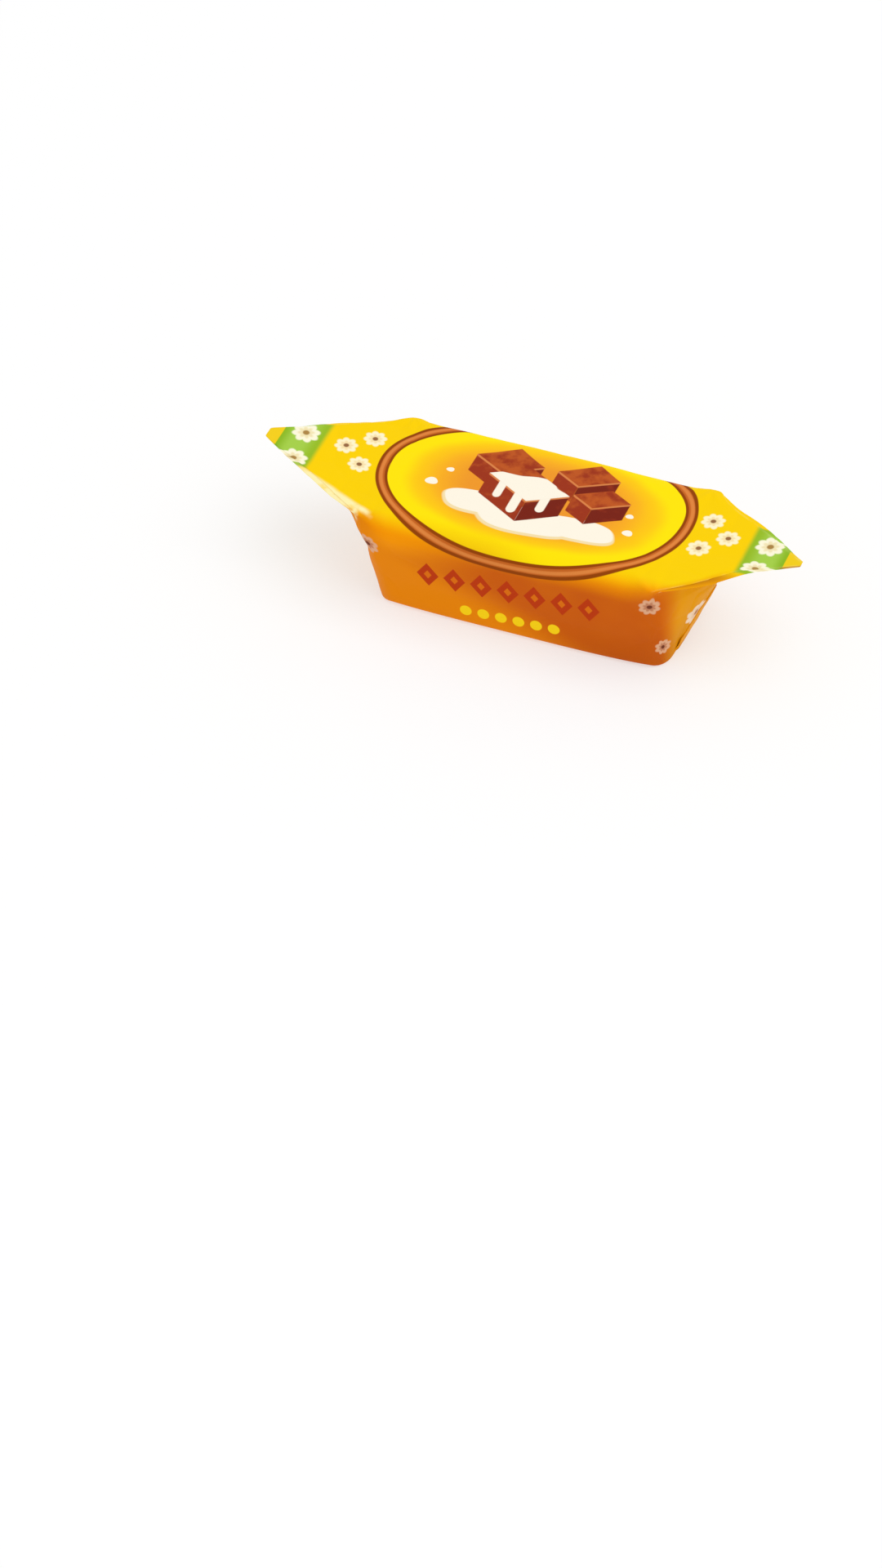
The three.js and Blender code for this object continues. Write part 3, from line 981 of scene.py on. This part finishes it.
# %% [markdown]
# The ornament in the oval is a heap of caramels in milk. A block in slanted view has three faces,
# and each one is a box in its own skewed coordinates. A pool of milk is a circle whose edge waves,
# and a drip a rounded stripe. These helpers say how each is drawn.

# %% Waxed paper: how caramels and milk are drawn
SKEW = math.cos(math.radians(30))
TOP_BROWN, LEFT_BROWN, RIGHT_BROWN = ink(190, 88, 36), ink(156, 54, 28), ink(120, 36, 22)
BEVEL_INK, BEVEL = ink(230, 142, 80), (0.4, 0.25)  # a light line along the top of each side

streaks = wax.noise(1.8, 3.0)
top_tone = wax.paint(TOP_BROWN, LEFT_BROWN, streaks.step(0.4, 0.7))
left_tone = wax.paint(LEFT_BROWN, TOP_BROWN, streaks.step(0.5, 0.8))
right_tone = wax.paint(RIGHT_BROWN, LEFT_BROWN, streaks.step(0.5, 0.8))


def paint_block(colour, foot, length, depth, height):
    """A caramel block that stands on its front corner; its sizes are along the slants and up."""
    across, up = (u - foot[0]) / SKEW, v - foot[1]
    right_up, left_up = up - across * 0.5, up + across * 0.5
    right = across.between(0, length) * right_up.between(0, height)
    left = across.between(-depth, 0) * left_up.between(0, height)
    over = (up - height) * 2
    top_right, top_left = (over + across) * 0.5, (over - across) * 0.5
    top = top_right.between(0, length) * top_left.between(0, depth)
    for tone, face in ((right_tone, right), (left_tone, left), (top_tone, top)):
        colour = wax.paint(colour, tone, face)
    low, high = (height - inset for inset in BEVEL)
    bevel = (right * right_up.step(low, high)).most(left * left_up.step(low, high))
    return wax.paint(colour, BEVEL_INK, bevel * 0.8), top


def angle_of(away_u, away_v):
    """The direction of a spot, all the way round."""
    return wax.node("ShaderNodeMath", {"operation": "ARCTAN2"}, {0: away_v, 1: away_u})


def puddle(middle_u, middle_v, long, short, waves=4, ripple=0.05):
    """A pool with a wavy edge: 1 inside it."""
    away_u, away_v = (u - middle_u) / long, (v - middle_v) / short
    wave = (angle_of(away_u, away_v) * waves + middle_u).sine() * ripple
    return (length_of(away_u, away_v) + wave).step(1.03, 0.97)


def drip(along, width, foot):
    """A run of milk down a block: its place along the front, its width and where it ends."""
    return length_of(front - along, (foot - v).most(0)).step(width + 0.08, width - 0.08)


# %% [markdown]
# The milk lies round the foot of the heap and over the middle block, with a few drops beside it.
# What is further back is painted first.

# %% Waxed paper: caramels and milk
MILK, MILK_SHADE = ink(252, 244, 226), ink(244, 222, 170)
POOLS = ((-5.6, -2.3, 5.0, 2.2), (0.4, -3.6, 6.4, 2.5), (7.2, -2.9, 5.2, 2.1))  # middle and size
BLOCKS = (  # foot, length, depth and height; the milk is poured over the last one
    ((-5.2, 0.6), 5.4, 4.6, 3.4),
    ((4.6, 1.6), 5.2, 3.8, 3.2),
    ((7.6, -1.8), 4.8, 3.4, 3.2),
    ((-0.4, -4.2), 5.4, 7.0, 4.0),
)
LID_POOL = (-1.4, 2.2, 5.4, 2.3)
DRIPS = ((-1.4, 0.7, -2.2), (-4.4, 0.6, -0.2), (2.4, 0.66, -1.0))  # place, width and lower end
DROPS = ((-12.6, -0.6, 0.8), (13.2, -1.4, 0.65), (12.4, 1.6, 0.5), (-11.2, 2.2, 0.5))

for middle_u, middle_v, long, short in POOLS:
    colour = wax.paint(colour, MILK_SHADE, puddle(middle_u, middle_v - 0.3, long, short))
for middle_u, middle_v, long, short in POOLS:
    colour = wax.paint(colour, MILK, puddle(middle_u, middle_v, long - 0.3, short - 0.2))
for block in BLOCKS:
    colour, lid = paint_block(colour, *block)
foot, length, depth, height = BLOCKS[-1]
front = (u - foot[0]) / SKEW
below_lid = (v - foot[1] - height - abs(front) * 0.5).step(0.1, 0)
running = drip(*DRIPS[0])
for sizes in DRIPS[1:]:
    running = running.most(drip(*sizes))
running = running * below_lid * front.between(-depth, length)
poured = lid * puddle(*LID_POOL, waves=5, ripple=0.13)
colour = wax.paint(colour, MILK, poured.most(running))
for middle_u, middle_v, size in DROPS:
    drop = puddle(middle_u, middle_v, size, size * 0.8, waves=3, ripple=0.06)
    colour = wax.paint(colour, MILK, drop)
print("ornament:", len(wax.nodes), "nodes")

# %% [markdown]
# Small plain flowers are strewn outside the oval. A flower is eight petals round a brown middle.
# The petals are a wave in its outline, so one sum of its angle and its distance draws them all.

# %% Waxed paper: how a flower is drawn
PETALS, PETAL_WAVE = 8, 0.22


def paint_flower(colour, away_u, away_v, size, inks, shown=1.0):
    """A flower at the place where both distances are 0; its inks are petal, shade and middle."""
    petal, shade, heart = inks
    lobe = abs((angle_of(away_u, away_v) * (PETALS / 2)).sine())
    away = length_of(away_u, away_v) / size
    tone = wax.paint(shade, petal, (away - lobe * 0.2).step(0.26, 0.5))
    colour = wax.paint(colour, tone, (away - lobe * PETAL_WAVE).step(0.84, 0.66) * shown)
    return wax.paint(colour, heart, away.step(0.29, 0.17) * shown)


# %% [markdown]
# The green bands lie across the points, and their tips are yellow again. Three flowers stand
# between each band and the oval, and two on the band, of which the front one is cut by the fold.

# %% Waxed paper: green bands and the flowers on top
BAND = (27.8, 32.9)
GREEN, INNER_GREEN, OUTER_GREEN = ink(164, 206, 74), ink(150, 188, 40), ink(138, 184, 36)
TIP_YELLOW = ink(242, 205, 28)
TOP_INKS = ink(254, 243, 202), ink(247, 224, 170), ink(150, 104, 66)
TOP_SIZE, TOP_MIDDLE = 1.5, 1.8  # the second is how far back the middle of the three lies
TOP_FLOWERS = ((24.9, 0), (22.1, 2.66))  # along the bar, and to both sides of the middle
BAND_INKS = ink(252, 247, 218), ink(242, 228, 180), ink(172, 132, 70)
BAND_SIZE, BAND_MIDDLE = 1.85, -0.8
BAND_ALONG, BAND_APART, BAND_SLANT = 30.25, 2.65, 0.07

on_top = wide.step(10.0, 9.7)
band = far.step(BAND[0] - 0.5, BAND[0] + 0.35) * far.step(BAND[1] + 0.08, BAND[1] - 0.08) * on_top
green = wax.paint(INNER_GREEN, GREEN, far.step(BAND[0] + 0.3, BAND[0] + 2.2))
green = wax.paint(green, OUTER_GREEN, far.step(BAND[1] - 1.6, BAND[1]))
colour = wax.paint(colour, green, band)
colour = wax.paint(colour, TIP_YELLOW, far.step(BAND[1] - 0.05, BAND[1] + 0.1) * on_top)
for along, apart in TOP_FLOWERS:
    across = abs(v - TOP_MIDDLE) - apart
    colour = paint_flower(colour, far - along, across, TOP_SIZE, TOP_INKS, on_top)
along = far - BAND_ALONG - (v - BAND_MIDDLE - BAND_APART) * BAND_SLANT
across = abs(v - BAND_MIDDLE) - BAND_APART
colour = paint_flower(colour, along, across, BAND_SIZE, BAND_INKS, on_top)
print("bands:", len(wax.nodes), "nodes")

# %% [markdown]
# Down the sides there is a flower near each corner and one on the right end, and underneath there
# are loose rows of them. A row is one flower whose place along the bar is repeated. The flowers near
# the corners are dimmer than the others, partly in the print's own inks and partly as painted shade
# of the sides.

# %% Waxed paper: flowers on the sides and the base
# the side flowers' inks are dimmed partly as painted shade of the sides
SHADED_SIDE_INKS = ink(226, 172, 134), ink(196, 130, 94), ink(116, 58, 36)
END_INKS = ink(244, 218, 190), ink(236, 200, 164), ink(190, 130, 90)
SIDE_SIZE, END_SIZE = 1.45, 1.85
SIDE_FLOWERS = (  # along the bar, down the side, size, inks and where it shows
    (18.3, 13.45, SIDE_SIZE, SHADED_SIDE_INKS, 1),
    (20.03, 21.4, SIDE_SIZE, SHADED_SIDE_INKS, 1),
    (25.6, 18.85, END_SIZE, END_INKS, u.step(0, 1)),
)
SIDE_MIDDLE, SIDE_TILT = 0.85, 0.025
ROW_PITCH, ROW_GAP, FIRST_ROW, ROW_SHIFT = 9.2, 6.8, 28.2, 5.2

on_side = wide.step(11.2, 11.4)
for along, low, size, inks, share in SIDE_FLOWERS:
    away_u, away_v = abs(u - SIDE_MIDDLE) - along, wide - low + to_right * SIDE_TILT
    colour = paint_flower(colour, away_u, away_v, size, inks, on_side * share)
row = wax.node("ShaderNodeMath", {"operation": "ROUND"}, {0: (wide - FIRST_ROW) / ROW_GAP})
along, across = (u - row * ROW_SHIFT).repeat(ROW_PITCH), wide - FIRST_ROW - row * ROW_GAP
colour = paint_flower(colour, along, across, SIDE_SIZE, END_INKS, under_bar)
print("flowers:", len(wax.nodes), "nodes")

# %% [markdown]
# Each side carries two plain rows in the warm tones of the print: a larger one of red-brown
# lozenges and a smaller one of yellow dots.

# %% Waxed paper: rows on the sides
LOZENGE_PITCH, LOZENGE_ROW, LOZENGE_HALF = 3.5, 15.5, (1.45, 2.1)
DOT_PITCH, DOT_ROW = 2.3, 20.5
RED_BROWN, LIGHT_BROWN, DOT_YELLOW = ink(190, 58, 8), ink(222, 112, 10), ink(252, 214, 20)
ROWS_MIDDLE = 0.8
ROW_TILT = 0.045  # the rows are printed a little askew
SHARP = 0.02  # over what length a row ends

along, askew = to_right - ROWS_MIDDLE, wide + to_right * ROW_TILT
cell = along.repeat(LOZENGE_PITCH)
lozenge = abs(cell) / LOZENGE_HALF[0] + abs(askew - LOZENGE_ROW) / LOZENGE_HALF[1]
seven = abs(along).step(LOZENGE_PITCH * 3.5 + SHARP, LOZENGE_PITCH * 3.5 - SHARP)
colour = wax.paint(colour, RED_BROWN, lozenge.step(1.03, 0.96) * seven)
colour = wax.paint(colour, LIGHT_BROWN, lozenge.step(0.38, 0.32) * seven)
dot = length_of((along + DOT_PITCH / 2).repeat(DOT_PITCH), askew - DOT_ROW)
six = abs(along).step(DOT_PITCH * 3 + SHARP, DOT_PITCH * 3 - SHARP)
colour = wax.paint(colour, DOT_YELLOW, dot.step(0.82, 0.72) * six)
print("rows:", len(wax.nodes), "nodes")

# %% [markdown]
# Where the paper is folded sharply its print has cracked and the pale paper shows: a little along
# all the points, and most of all in a line along the front of the left one. That line lies on the
# rolled fold, and its cream is partly worn print and partly a painted highlight on the roll.

# %% Waxed paper: pale folds
CREAM = ink(255, 240, 176)
LINE_AT, LINE_SLANT = (27.7, 5.5), 0.34  # a place on the pale line, and how it slants

tip_side = u.step(0.1, -0.1) * (TIP_HALF[-1] - TIP_HALF[1]) + TIP_HALF[1]
fold_line = HALF_WIDE - (far - HALF_TOP) / POINT * (HALF_WIDE - tip_side)
from_fold = wide - fold_line
at_front = v.step(0, -0.5)
patches = wax.noise(1.4, 3.0)
cracked = abs(from_fold - 0.1).step(0.5, 0.1) * patches.step(0.3, 0.62) * far.step(19.4, 20.6)
from_pale = wide - LINE_AT[1] - (LINE_AT[0] - far) * LINE_SLANT - clouds * 0.5
# the cream line on the left point's rolled fold: partly worn print, partly painted highlight
creamy = abs(from_pale - 0.3).step(0.95, 0.1) * (1 - patches.step(0.5, 0.7) * 0.3)
faded_and_highlit = from_pale.step(-0.1, 0.5) * from_fold.step(1.3, 0.8) * far.step(18.9, 19.7)
faded_and_highlit = faded_and_highlit * (1 - patches.step(0.4, 0.7) * 0.7)
left_front = u.step(-17.2, -18.4) * at_front
# the cracks are worn print; the left front line is worn print and painted highlight
worn_and_highlit = (cracked * 0.12).most(left_front * creamy.most(faded_and_highlit) * far.step(29.3, 27.3))
print("folds:", len(wax.nodes), "nodes")

# %% [markdown]
# Along the front of the right point the fold is sharp. Its shade is painted: the top darkens to
# amber towards the fold, and a dark line of painted shadow runs along the fold and the front edge of
# the tip, with the amber of the lower ply under it.

# %% Waxed paper: the right point's fold
FOLD_SHADE = ink(176, 98, 6)

right_front = u.step(20.0, 21.2) * at_front
near_bar = far.step(28, 25)
# painted shade: the top of the point darkens towards its front fold
colour = wax.paint(colour, AMBER, right_front * from_fold.between(-0.4, 0.5, 0.8) * near_bar * 0.6)
lower_ply = at_front * abs(from_fold - 0.9).step(0.6, 0.3) * near_bar * far.step(20.6, 21.2)
colour = wax.paint(colour, END_AMBER, lower_ply * (1 - left_front))
# painted shadow along the fold and along the front edge of the tip
line = abs(from_fold - 0.35).step(0.36, 0.1) * near_bar
line = line.most(from_fold.step(-0.1, 0.15) * far.step(32, 33) * wide.step(3, 2.5))
colour = wax.paint(colour, FOLD_SHADE, right_front * line * 0.7)
colour = wax.paint(colour, CREAM, worn_and_highlit)
print("print:", len(wax.nodes), "nodes")

# %% [markdown]
# Wax makes the paper a little glossy, but not evenly, and the paper has a fine grain and faint
# crinkles. These are too small to model, so they are a bump. The gloss that is the same all over is
# set on the shader itself.

# %% Waxed paper: gloss and grain
GRAIN, CRINKLE = 0.22, 2.4  # how large they are
BUMP = 0.03 * MM

grain, crinkle = wax.noise(GRAIN, 2.0), wax.noise(CRINKLE, 3.0)
bump = {"Distance": BUMP, "Strength": 0.5, "Height": crinkle + grain * 0.25}
wax.set(
    Base_Color=colour, Roughness=0.40 + patches * 0.12,
    Normal=wax.node("ShaderNodeBump", {}, bump),
    Specular_IOR_Level=0.02, Coat_Weight=0.03, Coat_Roughness=0.3,
)
print("waxed paper:", len(wax.nodes), "nodes")

# %% [markdown]
# The cut edges of the paper are bare: no wax, no print, only pale fibres. Every piece then gets the
# printed finish first, and the plies the cut edge second, which is the one their rims look for.

# %% Cut edge
PALE, DARKER = ink(248, 232, 190), ink(232, 205, 140)

rim_paper = Finish("cut_edge")
rim_paper.set(Base_Color=rim_paper.paint(PALE, DARKER, rim_paper.noise(0.4)), Roughness=0.75)
for piece in (wrapper, *plies):
    piece.data.materials.append(wax.material)
for piece in plies:
    piece.data.materials.append(rim_paper.material)
print("finishes:", [slot.name for slot in plies[0].data.materials])

# %% [markdown]
# ## Join the imported model
# Every piece rides on the one body. The wrapper stands for the imported solid, which is then hidden
# and only serves for contact.

# %% Bodies
for piece in (wrapper, *plies):
    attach(piece, "root")
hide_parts("wrapped_caramel")
print(len(plies) + 1, "pieces ride on root")

# %% [markdown]
# ## Stage and light
# The sweet lies on a plain pale floor under an evenly white sky. The floor glows a little of its
# own, as a lit white table does: it stays clean under the sweet and throws light back at the front.

# %% Stage
FLOOR_SIZE, FLOOR_DROP = 6, 0.02  # in metres, and how far below the sweet in millimetres
FLOOR_GLOW, SKY_STRENGTH = 0.56, 0.74
WHITE = (1, 1, 1, 1)

bpy.ops.mesh.primitive_plane_add(size=FLOOR_SIZE, location=place(0, 0, -FLOOR_DROP))
floor = bpy.context.object
floor.name = "floor"
pale = Finish("pale_floor")
pale.set(
    Base_Color=ink(176, 176, 176), Roughness=0.9, Specular_IOR_Level=0.0,
    Emission_Color=WHITE, Emission_Strength=FLOOR_GLOW,
)
floor.data.materials.append(pale.material)
floor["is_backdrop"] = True

world = bpy.data.worlds.new("soft_room")
bpy.context.scene.world = world
world.use_nodes = True
sky = world.node_tree.nodes["Background"].inputs
sky["Color"].default_value, sky["Strength"].default_value = WHITE, SKY_STRENGTH
bpy.context.scene.view_settings.view_transform = "Standard"
print("floor", FLOOR_SIZE, "m wide")

# %% [markdown]
# One large soft lamp stands to the right and above. It lights the top and the right end. Its size
# keeps the shadows soft, where a small lamp would draw every wrinkle hard.

# %% Lamp
LAMP_AT, LAMP_SIZE, LAMP_POWER = Vector((1.1, -0.1, 2.5)), 2.6, 30  # metres, metres and watts

bpy.ops.object.light_add(type="AREA", location=LAMP_AT)
lamp = bpy.context.object
lamp.name = "key"
lamp.data.size, lamp.data.energy = LAMP_SIZE, LAMP_POWER
lamp.rotation_mode = "QUATERNION"
lamp.rotation_quaternion = (-LAMP_AT).to_track_quat("-Z", "Y")
print("lamp", round(LAMP_AT.length, 1), "m away")

# %% The boxes
size = {
    "cad": [list(cad_low), list(cad_high)],
    "visual": [list(corner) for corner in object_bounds()],
}
